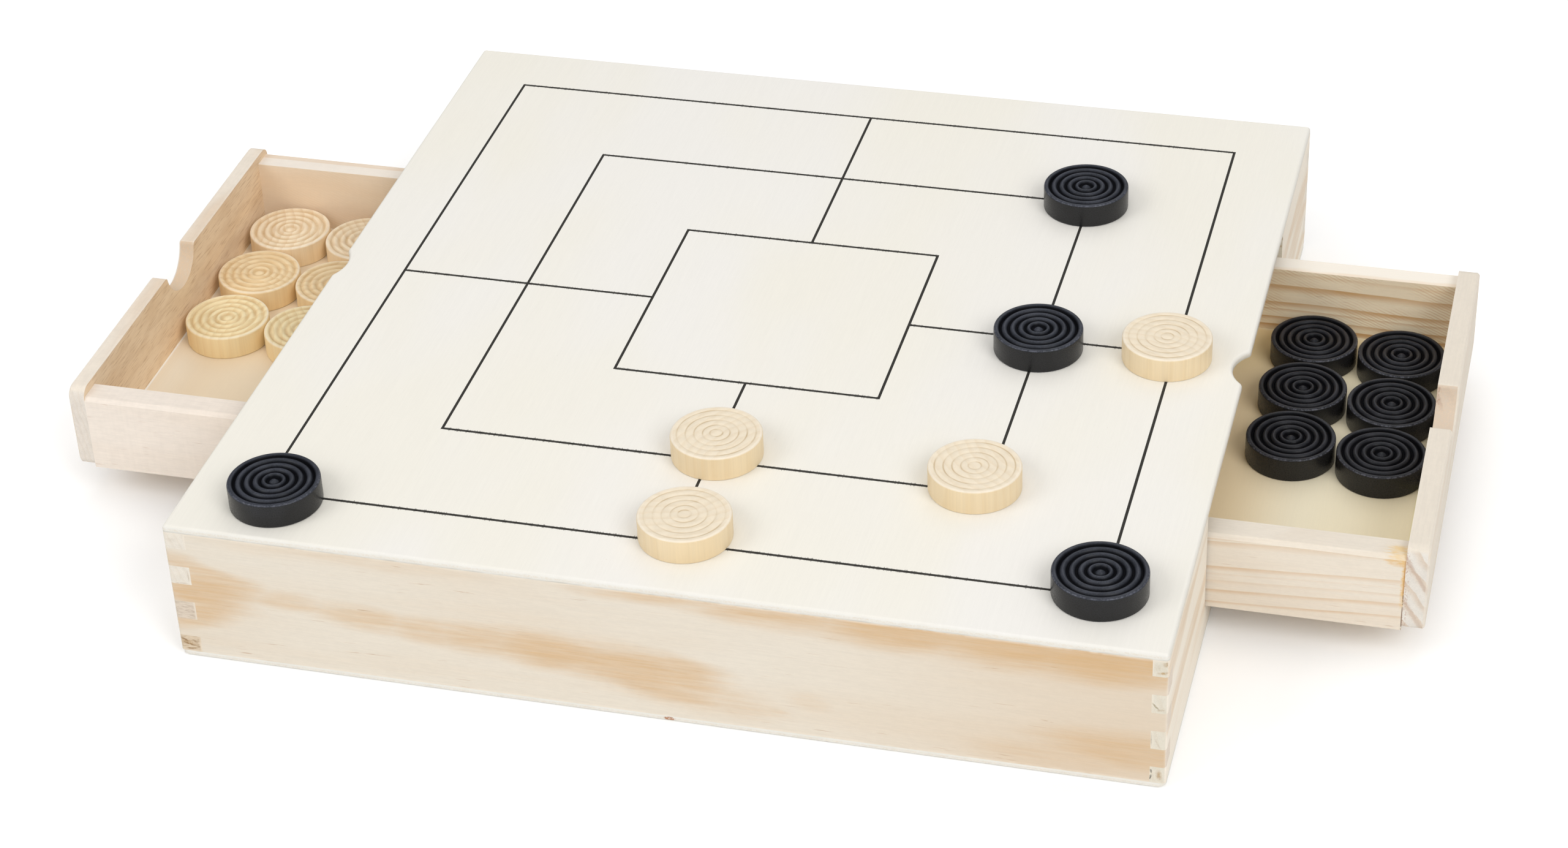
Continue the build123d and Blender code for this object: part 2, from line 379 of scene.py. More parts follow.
def pine(name, node, axis, figure, seed=0.0, light=PINE, spots=(), threads=(), end=srgb(231, 223, 210),
         extra=None):
    """Flat-sawn pine: soft darker clouds (spots), and hair-thin resin threads, along the grain."""
    s = Shader(name)
    u, v, w = along(s, axis)
    wander = s.wander(5, sizes(axis, 30, 10, 12), seed + 1)
    sway = s.wander(18, sizes(axis, 50, 6, 9), seed + 2)
    vv = s.plus(v, wander)
    uu = s.plus(u, sway)
    cloud = s.times(s.step(s.noise(sizes(axis, 95, 9, 30), 2, 0.45, shift=seed + 3), 0.46, 0.66), figure)
    for centre, radii, degrees, weight in spots:
        cloud = s.most(cloud, s.times(s.spot(uu, vv, centre, radii, degrees, 0.8), weight))
    # The clouds' borders fray along the grain.
    frayed = s.noise(sizes(axis, 22, 1.1, 2.5), 4, 0.65, shift=seed + 4)
    border = s.times(cloud, s.minus(1.0, cloud), s.minus(frayed, 0.5))
    frayed_cloud = s.times(cloud, s.step(frayed, 0.25, 0.75, 0.86, 1.08))
    cloud = s.math("ADD", frayed_cloud, s.times(border, 2.6), clamp=True)
    blush = s.step(s.noise(sizes(axis, 120, 22, 60), 1, 0.5, shift=seed + 5), 0.4, 0.65)
    colour = s.mix(s.times(blush, 0.22), light, s.mix(0.5, light, PINE_TAN))
    colour = s.mix(cloud, colour, PINE_TAN)
    fine = s.noise(sizes(axis, 13, 0.42, 0.8), 3, 0.6, shift=seed + 6)
    mottle = s.noise(sizes(axis, 2.4, 0.8, 1), 2, 0.6, shift=seed + 12)
    colour = s.shade(colour, s.plus(s.vary(fine, 0.974, 1.014), s.vary(mottle, -0.014, 0.012)))
    hair = s.times(hairs(s, axis, (9, 0.24, 1.2), 0.715, (34, 6, 14), (0.48, 0.62), seed + 7), 0.5)
    broken = s.step(s.noise(sizes(axis, 5, 0.5, 1), 2, 0.6, shift=seed + 13), 0.38, 0.6)
    for centre, radii, degrees, weight in threads:
        thread = s.spot(u, s.plus(v, s.times(wander, 0.2)), centre, radii, degrees, 0.9)
        hair = s.most(hair, s.times(thread, broken, weight))
    colour = s.mix(hair, colour, RESIN)
    ring_at = s.plus(w, s.times(v, 0.35))
    grey, pores = end_grain(s, end, srgb(205, 186, 158), ring_at, 2.7, seed, 0.14)
    if extra:
        grey, colour = extra(s, grey, colour)
    return board_finish(s, node, axis, colour, grey, fine, pores, seed, WEAR_AND_HIGHLIGHT)


STRIPE = srgb(231, 221, 206)
STRIPE_TAN = srgb(212, 177, 136)
# Painted light: a brightened warm tone, so the right drawer's far inner face looks lit in the drawer's shade.
STRIPE_PAINTED_LIGHT = srgb(254, 238, 208)
STRIPE_GOLD = srgb(212, 164, 106)


def striped(name, node, axis, lines, seed, light=STRIPE, dark=STRIPE_TAN, tilt=0.01, lean=0.0, origin=0.0,
            rays=0.0, extra=None):
    """Pine with its growth rings on edge, as lines that are soft on one side and sharp on the other.

    Each line is (place across the grain, width, weight). They climb by the tilt along the grain, from the
    origin, and by the lean through the board.
    """
    s = Shader(name)
    u, v, w = along(s, axis)
    wander = s.wander(1.8, sizes(axis, 46, 16, 20), seed + 1)
    slope = s.times(s.minus(u, origin), tilt)
    across = s.plus(v, wander, slope, s.times(w, lean))
    bands = []
    for place, width, weight in lines:
        soft, sharp = s.step(across, place - width, place), s.step(across, place + 0.25, place + 0.02)
        bands.append(s.times(soft, sharp, weight))
    uneven = s.noise(sizes(axis, 30, 3, 9), 2, 0.5, shift=seed + 2)
    band = s.math("MULTIPLY", s.most(*bands), s.vary(uneven, 0.72, 1.1), clamp=True)
    blush = s.step(s.noise(sizes(axis, 70, 7, 20), 2, 0.5, shift=seed + 5), 0.4, 0.7)
    face = s.step(s.nz, 0.6, 0.4)
    colour = s.mix(s.times(blush, face, 0.14), light, dark)
    colour = s.mix(s.times(band, s.step(face, 0.0, 1.0, 0.15, 1.0)), colour, dark)
    fine = s.noise(sizes(axis, 12, 0.4, 0.7), 3, 0.6, shift=seed + 3)
    mottle = s.noise(sizes(axis, 1.8, 0.8, 1), 2, 0.6, shift=seed + 12)
    colour = s.shade(colour, s.plus(s.vary(fine, 0.974, 1.016), s.vary(mottle, -0.016, 0.012)))
    hair = hairs(s, axis, (8, 0.25, 1), 0.72, (26, 6, 14), (0.5, 0.62), seed + 4)
    colour = s.mix(s.times(hair, face, 0.4), colour, srgb(180, 134, 92))
    if rays:
        colour = saw_marks(s, colour, dark, u, v, rays, seed)
    ring_at = s.plus(w, s.times(v, 0.75))
    grey, pores = end_grain(s, srgb(226, 220, 211), srgb(206, 180, 152), ring_at, 5.5, seed, 0.5)
    if extra:
        grey, colour = extra(s, grey, colour)
    return board_finish(s, node, axis, colour, grey, fine, pores, seed, WEAR_AND_HIGHLIGHT_PALE, above=33, wear_and_highlight_amount=0.12)


def saw_marks(s, colour, dark, u, v, weight, seed):
    """Fine marks that a saw left at a slant over parts of a face."""
    slant = s.plus(s.times(u, 0.35), s.times(v, 0.8))
    uneven = s.times(s.noise((6, 6, 6), 2, 0.5, shift=seed), 7)
    wave = s.math("SINE", s.plus(s.times(slant, 7.5), uneven))
    marks = s.times(s.step(wave, 0.0, 1.0), s.step(s.noise((18, 18, 9), 2, 0.5, shift=seed + 6), 0.4, 0.62),
                    s.step(s.nz, 0.5, 0.3))
    return s.mix(s.times(marks, weight), colour, dark)


FINE = srgb(238, 227, 212)
FINE_PALE = srgb(240, 229, 217)
FINE_TAN = srgb(222, 190, 154)
FINE_WARM = srgb(248, 224, 192)


def fine_wood(name, node, axis, seed, light=FINE, broad=0.3, rays=0.0, extra=None):
    """Close-grained pale wood with small dark flecks."""
    s = Shader(name)
    u, v, w = along(s, axis)
    mask = s.step(s.noise(sizes(axis, 60, 9, 16), 2, 0.5, shift=seed + 1), 0.35, 0.7)
    colour = s.mix(s.times(mask, broad), light, FINE_TAN)
    fine = s.noise(sizes(axis, 9, 0.4, 0.8), 4, 0.65, shift=seed + 2)
    colour = s.shade(colour, s.step(fine, 0.25, 0.75, 0.962, 1.022))
    mottle = s.noise(sizes(axis, 3.5, 1.6, 2), 3, 0.65, shift=seed + 7)
    colour = s.shade(colour, s.vary(mottle, 0.975, 1.018))
    fleck = hairs(s, axis, (6, 0.22, 0.8), 0.71, (24, 7, 12), (0.46, 0.6), seed + 3)
    fleck = s.times(fleck, s.step(s.nz, 0.6, 0.4))
    colour = s.mix(s.times(fleck, 0.5), colour, srgb(182, 136, 98))
    # Faint marks of the planer, across the grain.
    planed = s.noise(sizes(axis, 0.9, 40, 40), 2, 0.5, shift=seed + 5)
    colour = s.shade(colour, s.step(planed, 0.35, 0.7, 1.006, 0.988))
    if rays:
        colour = saw_marks(s, colour, FINE_TAN, u, v, rays, seed)
    ring_at = s.plus(w, s.times(v, 0.2))
    grey, pores = end_grain(s, srgb(228, 219, 208), srgb(206, 190, 168), ring_at, 1.9, seed, 0.2)
    if extra:
        grey, colour = extra(s, grey, colour)
    return board_finish(s, node, axis, colour, grey, fine, pores, seed, WEAR_AND_HIGHLIGHT_PALE, (0.52, 0.7), 33, 0.25)


def marks_on(s, colour, u, v, marks):
    """Paints small soft ovals: (centre, radii, degrees, softness, weight, (red, green, blue))."""
    for centre, radii, degrees, soft, weight, tone in marks:
        ragged = s.step(s.noise((0.7, 0.7, 0.7), 3, 0.65, shift=centre[0]), 0.3, 0.62, 0.25, 1.0)
        mask = s.times(s.spot(u, v, centre, radii, degrees, soft), ragged, weight)
        colour = s.mix(mask, colour, srgb(*tone))
    return colour


# ---------------------------------------------------------------- the case
dress("top_panel", plywood("plywood_printed", "top_panel", extra=lid_marks))
dress("bottom_panel", plywood("plywood_floor", "bottom_panel", extra=floor_marks))

s = Shader("print_ink")
fibre = s.noise((0.3, 4, 2), 2, 0.6)
faint = s.step(s.noise((0.5, 1.2, 1), 2, 0.6, shift=3), 0.55, 0.8)
colour = s.mix(s.times(faint, 0.5), INK, srgb(84, 81, 74))
uneven = s.step(s.noise((30, 30, 30), 2, 0.5), 0.4, 0.7)
colour = s.mix(uneven, colour, s.shade(colour, s.vary(fibre, 0.8, 1.3)))
dress("board_print", s.finish(colour, s.vary(fibre, 0.55, 0.75), s.bump(fibre, 0.02, 0.4), 0.25))

# Each is (centre along X and Z, radii, degrees, weight).
front_spots = (
    # The tan arrowhead at the left end, its upper and lower arm and its shaft.
    ((-139, 25), (26, 11), 0, 0.8), ((-140, 33), (28, 6), -15, 0.6), ((-142, 17), (26, 7), 16, 0.7),
    ((-112, 26), (24, 5), -2, 0.45), ((-90, 24), (23, 7.5), -3, 0.55), ((-70, 22), (24, 7), -5, 0.5),
    # The long cloud in the middle.
    ((-50, 21), (30, 8), -3, 0.6), ((-30, 20), (34, 10), -3, 0.8), ((-9, 18), (40, 12), -3, 0.8),
    ((-6, 14), (36, 9), -12, 0.7), ((8, 18), (22, 10), -12, 0.7), ((20, 11), (24, 8), -8, 0.3),
    # The cloud that hangs from under the lid.
    ((6, 46), (40, 5.5), 0, 0.6), ((38, 46), (46, 9.5), 0, 0.7), ((74, 45), (46, 11), 0, 0.85),
    ((105, 44), (42, 12.5), 0, 0.9), ((130, 43), (40, 12), 3, 0.95), ((150, 45), (28, 10), 0, 0.95),
    # Lower right, and faint stains.
    ((139, 12), (38, 9), 0, 0.65), ((118, 6), (34, 7), 0, 0.3), ((47, 14), (10, 5), 0, 0.2),
    ((34, 9.4), (6, 1.8), 0, 0.3), ((-92, 45), (70, 5), 0, 0.2),
)
front_threads = (
    ((-69.5, 39), (5, 0.22), 3, 0.7), ((-56, 38), (5, 0.22), -3, 0.8), ((-89.5, 26.5), (5, 0.25), 1, 0.7),
    ((-119.5, 8.8), (6, 0.22), 2, 0.6), ((-89, 9.9), (10, 0.2), 2, 0.7), ((-128.5, 3.9), (4, 0.3), 0, 0.6),
    ((116, 18.9), (2.6, 0.25), -10, 0.8), ((103.5, 4.8), (4, 0.3), 0, 0.6), ((104, 3.4), (4.5, 0.2), -3, 0.6),
    ((100, 35.6), (4, 0.25), 4, 0.7), ((118, 38.8), (2.4, 0.2), 0, 0.5), ((57, 38.5), (9, 0.18), -1, 0.5),
    ((-20, 40.8), (7, 0.18), 2, 0.4), ((-60, 2.4), (5, 0.2), 0, 0.5),
)


def front_falloff_shade(s, grey, colour):
    """Painted shade: the front wall is painted darker and warmer towards its right end, where the light falls
    off.
    """
    right_end_shade = s.step(s.x, 20, 150)
    colour = s.mix(s.times(right_end_shade, 0.28), colour, PINE_TAN)
    return grey, s.shade(colour, s.minus(1.0, s.times(right_end_shade, 0.02)))


def left_pins(s, grey, colour):
    """The four pins in the front face at the left: two pale ones, a rosy one and a cracked brown one."""
    grey = s.mix(s.times(s.step(s.z, 22.5, 20.9), s.step(s.z, 10.5, 12.5), 0.75), grey, srgb(214, 198, 179))
    grey = s.mix(s.step(s.z, 11, 9, 0, 0.85), grey, srgb(216, 196, 168))
    streaks = s.step(s.noise((2.6, 2.6, 0.45), 3, 0.6, shift=4), 0.45, 0.66)
    low_ones = s.times(s.step(s.z, 24, 22), s.step(s.x, -143.2, -143.8))
    brown = s.mix(s.step(s.z, 12, 9), srgb(176, 154, 132), srgb(150, 116, 74))
    grey = s.mix(s.times(streaks, low_ones, 0.6), grey, brown)
    return marks_on(s, grey, s.x, s.z, (
        ((-147.2, 5.2), (3.4, 1.3), -12, 0.8, 0.75, (178, 146, 104)),
        ((-148.6, 6.3), (2.0, 0.45), -24, 0.6, 0.9, (140, 106, 68)),
        ((-147.0, 4.6), (2.6, 0.4), -14, 0.6, 0.85, (146, 112, 72)),
        ((-146.4, 3.0), (2.4, 0.4), 4, 0.6, 0.7, (160, 126, 86)),
        ((-145.0, 5.9), (1.2, 0.5), -30, 0.6, 0.75, (150, 118, 80)),
        ((-143.7, 30.5), (0.3, 2.6), 0, 0.6, 0.5, (178, 158, 134)),
        ((-146, 27.6), (3.0, 0.25), 2, 0.6, 0.5, (184, 164, 140)),
        ((-147.4, 43.4), (2.2, 1.2), 0, 0.9, 0.3, (198, 184, 164)),
    )), colour


def right_pins(s, grey, colour):
    """The four pins in the front face at the right, with brown stains and cracks."""
    return marks_on(s, grey, s.x, s.z, (
        ((149.4, 44.7), (1.5, 1.3), -12, 0.8, 0.9, (176, 144, 98)),
        ((148.5, 41.6), (2.2, 0.7), 8, 0.8, 0.85, (184, 152, 104)),
        ((147.0, 43.4), (1.3, 1.6), 10, 0.9, 0.5, (190, 176, 144)),
        ((145.9, 43.0), (0.4, 2.6), 0, 0.8, 0.5, (206, 200, 182)),
        ((146.5, 29.6), (0.4, 2.1), 42, 0.6, 0.8, (150, 132, 94)),
        ((148.0, 28.4), (1.6, 0.5), 12, 0.8, 0.6, (172, 146, 106)),
        ((145.6, 17.5), (0.25, 3.2), 0, 0.6, 0.6, (150, 132, 108)),
        ((147.4, 16.2), (0.4, 2.6), 25, 0.8, 0.4, (184, 168, 144)),
        ((145.75, 6.1), (0.32, 1.0), 8, 0.4, 1.0, (44, 34, 26)),
        ((145.6, 4.0), (0.38, 1.1), -12, 0.4, 1.0, (50, 38, 28)),
        ((148.0, 4.8), (1.3, 2.5), 4, 0.9, 0.8, (180, 148, 106)),
    )), colour


dress("front_wall", pine("pine_front", "front_wall", "X", 0.05, spots=front_spots, threads=front_threads,
                         end=srgb(226, 212, 196), extra=front_falloff_shade))
dress("back_wall", pine("pine_back", "back_wall", "X", 0.4, 40,
                        spots=(((40, 28), (70, 8), 3, 0.9), ((-70, 18), (66, 7), -4, 0.8))))
dress("left_wall", pine("pine_left", "left_wall", "Y", 0.5, 80, extra=left_pins))
dress("right_wall", pine("pine_right", "right_wall", "Y", 0.42, 120, srgb(242, 233, 218),
                         end=srgb(224, 217, 201), extra=right_pins))
dress("divider", pine("pine_divider", "divider", "Y", 0.6, 160))
runners = ("left_front_runner", "left_back_runner", "right_front_runner", "right_back_runner")
for number, node in enumerate(runners):
    dress(node, pine("pine_" + node, node, "X", 0.6, 200 + 13 * number))

# ---------------------------------------------------------------- drawers
# The drawer fronts' inner faces, along X.
INSIDE_LEFT = mm_box("left_drawer_front")[1][0]
INSIDE_RIGHT = mm_box("right_drawer_front")[0][0]
# The sawn surface in their finger notches: its lower and upper end, half its width and its middle along Y.
NOTCH_FLOOR, NOTCH_TOP, NOTCH_HALF = 29.5, 41.4, 14.0
NOTCH_MIDDLE = {"right": -3.0, "left": 0.8}


def notch(s, colour, side, brown, patch):
    """The sawn surface of a drawer front's finger notch: fuzzy and browner, with a patch at its near end."""
    middle = NOTCH_MIDDLE[side]
    under_top = s.step(s.z, NOTCH_TOP + 0.1, NOTCH_TOP - 0.1)
    over_floor = s.step(s.z, NOTCH_FLOOR - 0.5, NOTCH_FLOOR + 0.5)
    between = s.step(s.off(s.y, middle), NOTCH_HALF + 0.5, NOTCH_HALF - 0.5)
    inside = s.times(under_top, over_floor, between, s.step(s.nx, 0.6, 0.4))
    fuzz = s.noise((0.6, 1.2, 0.6), 3, 0.7, shift=31)
    tone = s.shade(brown, s.vary(fuzz, 0.93, 1.06))
    near_end = s.spot(s.y, s.x, (middle - 9.5, INSIDE_RIGHT + 3.5), (4.5, 3.2), 0, 0.6)
    tone = s.mix(s.times(near_end, 0.8), tone, patch)
    return s.mix(s.times(inside, s.step(fuzz, 0.2, 0.6, 0.55, 0.95)), colour, tone)


def near_side_marks(s, grey, colour):
    """Glue that ran over the top and down the joint at the drawer's front corner, and a crack under it."""
    top = s.on_top()
    face = s.minus(1.0, top)
    wobble = s.wander(11, (8, 0.9, 0.9), 5, 3, 0.65)
    x = s.plus(s.x, wobble)
    patchy = s.step(s.noise((3, 1, 1), 3, 0.6, shift=19), 0.3, 0.65, 0.35, 1.0)
    colour = s.mix(s.times(s.step(x, 201.5, 204), s.step(s.y, -72.5, -74.5), top, patchy, 0.8), colour,
                   srgb(232, 198, 134))
    corner = s.most(s.spot(x, s.z, (207.4, 37.6), (6.5, 3.2), 0, 0.5),
                    s.step(s.plus(s.x, s.times(wobble, 0.2)), 206.4, 207.3))
    glue = s.times(corner, s.step(s.z, 19, 24), face, s.step(patchy, 0.35, 1.0, 0.5, 1.0), 0.85)
    colour = s.mix(glue, colour, srgb(224, 182, 112))
    # A brown core where the two boards meet.
    core = s.times(s.step(s.x, 207.2, 207.55), s.step(s.z, 23, 27), face, 0.75)
    colour = s.mix(core, colour, srgb(184, 132, 70))
    crack = s.times(s.step(s.x, 207.4, 207.65), s.step(s.z, 27, 24.5), face,
                    s.step(s.noise((3, 3, 2.4), 2, 0.6, shift=8), 0.34, 0.46))
    return grey, s.mix(s.times(crack, 0.85), colour, srgb(104, 72, 48))


def right_far_marks(s, grey, colour):
    """The far side's top and outer face are paler than its golden inner face, whose tone is brightened as
    painted light. A peach strip is on the top.
    """
    top = s.on_top()
    colour = s.mix(s.times(top, 0.8), colour, srgb(248, 242, 233))
    outside = s.times(s.step(s.y, 71.2, 72.0), s.minus(1.0, top))
    colour = s.mix(s.times(outside, 0.72), colour, srgb(234, 222, 204))
    wavy = s.plus(s.y, s.times(s.noise((14, 2, 3), 2, 0.5, shift=12), 3))
    strip = s.times(s.step(wavy, 74.2, 72.2), top, 0.5)
    return grey, s.mix(strip, colour, srgb(240, 214, 180))


def right_front_marks(s, grey, colour):
    """The notch, and on the sawn ends broad rosy bands that slant down from the inside, with brown specks."""
    brown, patch = srgb(214, 194, 172), srgb(226, 178, 124)
    grey, colour = (notch(s, tone, "right", brown, patch) for tone in (grey, colour))
    slant = s.plus(s.z, s.times(s.minus(s.x, INSIDE_RIGHT), 1.75), s.wander(3, (1.2, 1.2, 1.2), 17, 3, 0.65))
    for middle, half, weight in ((38.4, 1.7, 0.5), (23.5, 2.0, 0.34)):
        off = s.off(slant, middle)
        grey = s.mix(s.times(s.step(off, half, half * 0.3), weight), grey, srgb(188, 160, 140))
    specks = s.times(s.step(s.x, 209.8, 208), s.step(s.noise((0.5, 0.5, 0.8), 2, 0.6, shift=23), 0.52, 0.62))
    return s.mix(s.times(specks, 0.6), grey, srgb(176, 130, 104)), colour


# The growth rings' lines, by height. The front side is the one whose outer face the camera sees.
right_lines = {
    "front_side": ((37.7, 1.2, 0.45), (36.3, 2.6, 0.42), (27.4, 1.9, 0.6), (24.8, 0.8, 0.15),
                   (22.3, 1.4, 0.25), (18.9, 1.7, 0.6), (14.4, 1.1, 0.6)),
    "back_side": ((37.4, 1.6, 0.25), (32.6, 3.0, 0.9), (26.2, 2.4, 0.85), (23.4, 1.2, 0.45),
                  (20.2, 2.2, 0.8), (17.2, 2.6, 1.0)),
    "front": ((36.5, 3.0, 0.6), (29.0, 2.4, 0.7), (22.6, 1.5, 0.5), (17.4, 2.2, 0.7)),
    "back": ((35.0, 2.6, 0.6), (27.8, 2.0, 0.7), (20.4, 2.4, 0.6), (15.0, 1.2, 0.5)),
}
right_looks = {
    "front_side": {"tilt": -0.045, "origin": 150, "extra": near_side_marks},
    # The far side's light tone is brightened as painted light on its inner face.
    "back_side": {"origin": 150, "extra": right_far_marks,
                  "light": STRIPE_PAINTED_LIGHT, "dark": STRIPE_GOLD, "rays": 0.45},
    "front": {"lean": 0.35, "extra": right_front_marks},
    "back": {"lean": 0.35},
}
for number, (part, lines) in enumerate(right_lines.items()):
    node = "right_drawer_" + part
    axis = "X" if part.endswith("side") else "Y"
    dress(node, striped("striped_" + part, node, axis, lines, 300 + 17 * number, **right_looks[part]))


def left_front_marks(s, grey, colour):
    """The notch, and a warmer, streaky and blotched face inside the drawer."""
    brown = srgb(216, 190, 160)
    grey, colour = (notch(s, tone, "left", brown, brown) for tone in (grey, colour))
    inside = s.times(s.step(s.x, INSIDE_LEFT - 0.3, INSIDE_LEFT - 0.05), s.step(s.nx, 0.5, 0.8))
    colour = s.mix(s.times(inside, 0.7), colour, srgb(250, 222, 184))
    streaks = s.times(s.step(s.noise((2, 7, 0.5), 3, 0.6, shift=52), 0.5, 0.72), inside)
    blotches = s.times(s.step(s.noise((9, 16, 5), 2, 0.6, shift=57), 0.42, 0.66), inside)
    colour = s.mix(s.times(blotches, 0.25), colour, srgb(206, 170, 130))
    return grey, s.mix(s.times(streaks, 0.5), colour, srgb(186, 146, 104))


def left_far_marks(s, grey, colour):
    """The far side's top: a bright strip along the inside and a tan one along the outside."""
    top = s.on_top()
    uneven = s.step(s.noise((14, 1.2, 2), 2, 0.6, shift=3), 0.3, 0.55, 0.6, 1.0)
    outer = s.times(s.step(s.y, 75.2, 75.8), top, uneven)
    colour = s.mix(s.times(top, 0.5), colour, srgb(248, 240, 230))
    colour = s.mix(s.times(outer, 0.5), colour, srgb(226, 196, 162))
    inside = s.step(s.y, 70.8, 70.6)
    return grey, s.mix(s.times(inside, 0.55), colour, FINE_WARM)


left_looks = {
    "front": {"broad": 0.5, "extra": left_front_marks},
    "back": {},
    "front_side": {"light": FINE_PALE, "broad": 0.06},
    "back_side": {"rays": 0.35, "extra": left_far_marks},
}
for number, (part, looks) in enumerate(left_looks.items()):
    node = "left_drawer_" + part
    axis = "X" if part.endswith("side") else "Y"
    dress(node, fine_wood("fine_" + part, node, axis, 400 + 17 * number, **looks))


def drawer_floor_marks(side):
    """Along the front, a glue band on the right, and on the left a bright line painted as light showing
    through under the front board; a few specks. The right floor also gets painted warm shade near the box and
    painted warm light towards its far side. The underside is browner.
    """
    def paint(s, edge, colour):
        if side == "right":
            glue = s.times(s.step(s.x, INSIDE_RIGHT - 2.6, INSIDE_RIGHT - 1.8), s.step(s.y, 6, -4))
            colour = s.mix(s.times(glue, 0.75), colour, srgb(236, 226, 150))
            # Painted warm shade near the box's opening.
            colour = s.mix(s.step(s.x, 176, 146, 0, 0.5), colour, srgb(240, 206, 150))
            # Painted light: yellower and brighter towards the far side, in that side's shade.
            colour = s.mix(s.step(s.y, 30, 66, 0, 0.5), colour, srgb(252, 228, 168))
            colour = marks_on(s, colour, s.x, s.y, (
                ((196.5, -57.5), (0.7, 0.6), 0, 0.4, 1.0, (96, 78, 54)),
                ((158, -45), (1.0, 0.5), 20, 0.5, 0.8, (178, 140, 90)),
                ((160.5, -62), (0.8, 0.6), 0, 0.5, 0.8, (170, 132, 84)),
            ))
        else:
            # Painted light: a bright line where light shows through under the front board.
            light_under_front = s.times(s.step(s.x, INSIDE_LEFT + 0.75, INSIDE_LEFT + 0.45), s.step(s.y, 5, 0))
            colour = s.mix(light_under_front, colour, srgb(255, 253, 246))
            inward = s.step(s.x, INSIDE_LEFT + 4, INSIDE_LEFT + 16, 0, 0.28)
            colour = s.mix(inward, colour, srgb(236, 204, 156))
        return edge, s.mix(s.step(s.up, -0.4, -0.8, 0.0, 0.8), colour, srgb(216, 184, 142))
    return paint


for side, tint, warm in (("right", srgb(247, 238, 212), srgb(246, 233, 200)),
                         ("left", srgb(243, 233, 214), srgb(243, 228, 202))):
    node = side + "_drawer_bottom"
    dress(node, plywood("plywood_" + node, node, tint=tint, tint_warm=warm, extra=drawer_floor_marks(side)))

# ---------------------------------------------------------------- playing pieces
GROOVES = (0.138, 0.296, 0.483, 0.667, 0.855)  # their radii, as parts of the piece's own
FOOT_ROUND = 0.5  # the rounding of the lower edge
BLACK_ROUND, PALE_ROUND = 0.7, 0.65  # the rounding of the upper edge
BLACK_DEPTH, PALE_DEPTH, SHALLOW_DEPTH = 1.1, 0.65, 0.22  # of the grooves
WAVE, BAND = 1.3, 0.45  # powers of the sine that shapes a ring: a soft wave, or a flat band
FLAT_PART = 0.3  # the part of the outermost ring that stays flat
NUB_HEIGHT, NUB_WIDTH = 0.8, 0.74  # parts of the grooves' depth and of the innermost groove's radius
STEPS = 8  # from one groove to the next
SEGMENTS = 84  # round a piece


def quarter(steps):
    """The angles of a quarter turn, in equal steps."""
    return [math.pi / 2 * i / steps for i in range(steps + 1)]


def turned_profile(radius, height, rounding, depth, waved):
    """A turned disc as (radius, height) points, from the middle of its base to the middle of its top.

    The rings on top are waves, or flat bands between fine grooves. The waved ones have a small, low round nub
    in the middle, in a wider groove.
    """
    profile = [(0.0, 0.0), (radius * 0.5, 0.0)]
    for a in quarter(3):
        profile.append((radius - FOOT_ROUND * (1 - math.sin(a)), FOOT_ROUND * (1 - math.cos(a))))
    for a in quarter(5):
        profile.append((radius - rounding * (1 - math.cos(a)), height - rounding * (1 - math.sin(a))))
    stops = [1.0 - rounding / radius, *reversed(GROOVES), -GROOVES[0]]
    for outer, inner in zip(stops, stops[1:]):
        in_middle = inner < 0
        for i in range(1, (STEPS // 2 if in_middle else STEPS) + 1):
            t = i / STEPS
            at = outer + (inner - outer) * t
            if outer == stops[0]:
                hump = 1.0 - max(0.0, (t - FLAT_PART) / (1.0 - FLAT_PART)) ** 2
            elif waved and in_middle:
                hump = max(NUB_HEIGHT * (1.0 - (at / outer / NUB_WIDTH) ** 2), 0.0)
            else:
                hump = math.sin(math.pi * t) ** (WAVE if waved else BAND)
            profile.append((at * radius, height - depth * (1 - hump)))
    return profile


def spin(name, centre, base, profile):
    """A piece made by spinning the profile round an upright line through the centre."""
    bm = bmesh.new()
    rings = []
    for r, h in profile:
        ring = []
        for k in range(SEGMENTS if r > 1e-6 else 1):
            a = 2 * math.pi * k / SEGMENTS
            point = (centre[0] + r * math.cos(a), centre[1] + r * math.sin(a), base + h)
            ring.append(bm.verts.new([value / MM for value in point]))
        rings.append(ring)
    for a, b in zip(rings, rings[1:]):
        for k in range(SEGMENTS):
            j = (k + 1) % SEGMENTS
            if len(a) == 1:
                corners = (a[0], b[j], b[k])
            elif len(b) == 1:
                corners = (a[k], a[j], b[0])
            else:
                corners = (a[k], a[j], b[j], b[k])
            bm.faces.new(corners)
    bmesh.ops.recalc_face_normals(bm, faces=bm.faces)
    for face in bm.faces:
        face.smooth = True
    mesh = bpy.data.meshes.new(name)
    bm.to_mesh(mesh)
    bm.free()
    piece = bpy.data.objects.new(name, mesh)
    scene.collection.objects.link(piece)
    return piece


def from_middle(s, centre):
    """The way from the piece's middle along X and Y, and its length."""
    du, dv = s.minus(s.x, centre[0]), s.minus(s.y, centre[1])
    return du, dv, s.length(du, dv)


def groove_lines(s, r, radius, outer, inner):
    """1 within inner millimetres of a groove, 0 beyond outer."""
    return s.most(*[s.step(s.off(r, groove * radius), outer, inner) for groove in GROOVES])


